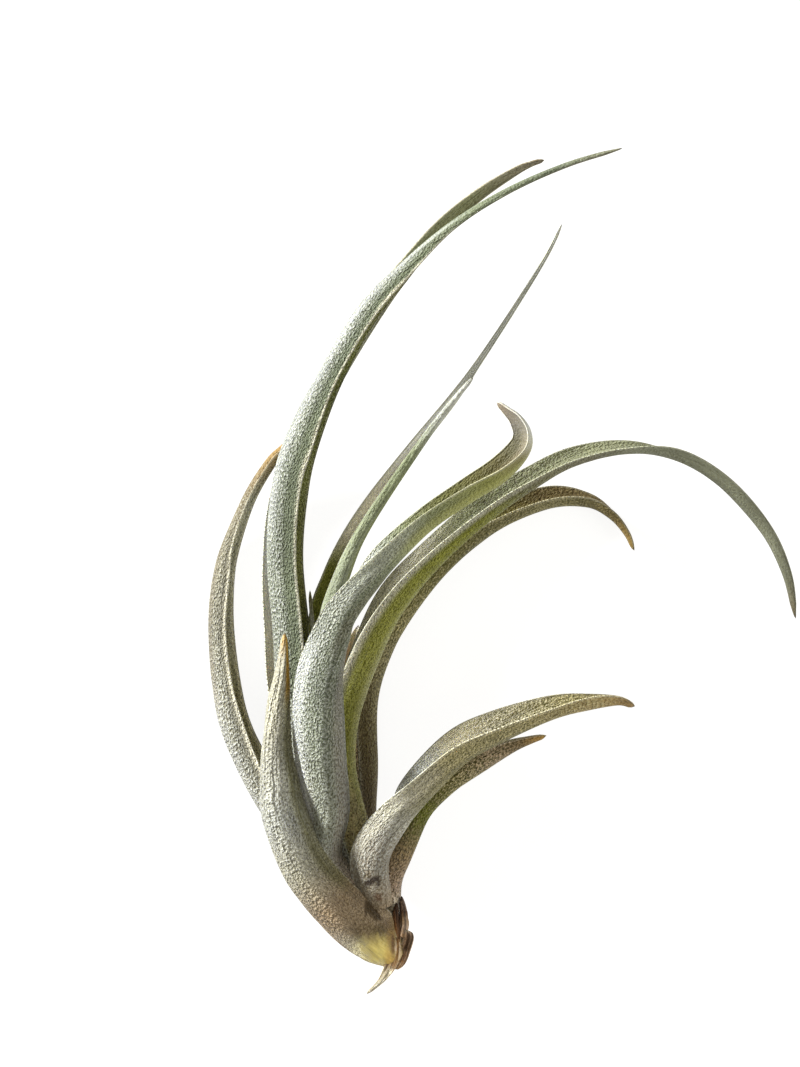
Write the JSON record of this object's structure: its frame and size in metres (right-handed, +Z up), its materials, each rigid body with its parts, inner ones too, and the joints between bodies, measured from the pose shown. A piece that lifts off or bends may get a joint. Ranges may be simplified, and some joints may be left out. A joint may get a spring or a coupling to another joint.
{
  "type": "air plant",
  "caption": "Whole air plant lying on its back: long channelled silver-scaled leaves that curve up from one short stem, with dead scales at its foot.",
  "frame": {"origin": "centre of the bounding box's underside, on the surface that the plant lies on", "axes": "+Y from the foot towards the tips of the tallest leaves, +X to the side that the right-hand leaves arch over to, +Z up, away from the surface"},
  "size_m": [0.1186, 0.1686, 0.0412],
  "materials": {
    "leaf_silver": "matt, silver scaled",
    "leaf_green": "matt, finely scaled",
    "leaf_brown": "matt, finely scaled",
    "scale_dark": "dry, matt",
    "scale_tan": "dry, papery",
    "stem": "matt, fibrous"
  },
  "bodies": {
    "root": {"leaf_front_left_short": "leaf_silver", "leaf_front_right_upper": "leaf_silver", "leaf_centre_hooked": "leaf_silver", "leaf_left_outer": "leaf_silver", "leaf_front_right_lower": "leaf_brown", "leaf_left_tall": "leaf_silver", "leaf_right_long": "leaf_green", "leaf_right_middle": "leaf_brown", "leaf_centre_short": "leaf_green", "leaf_left_rear": "leaf_green", "leaf_centre_long": "leaf_green", "leaf_centre_youngest": "leaf_green", "leaf_back_short": "leaf_brown", "scale_dry_left": "scale_dark", "scale_dry_right": "scale_dark", "scale_dry_curled": "scale_tan", "strip_dry": "scale_tan", "stem": "stem"}
  },
  "joints": []
}
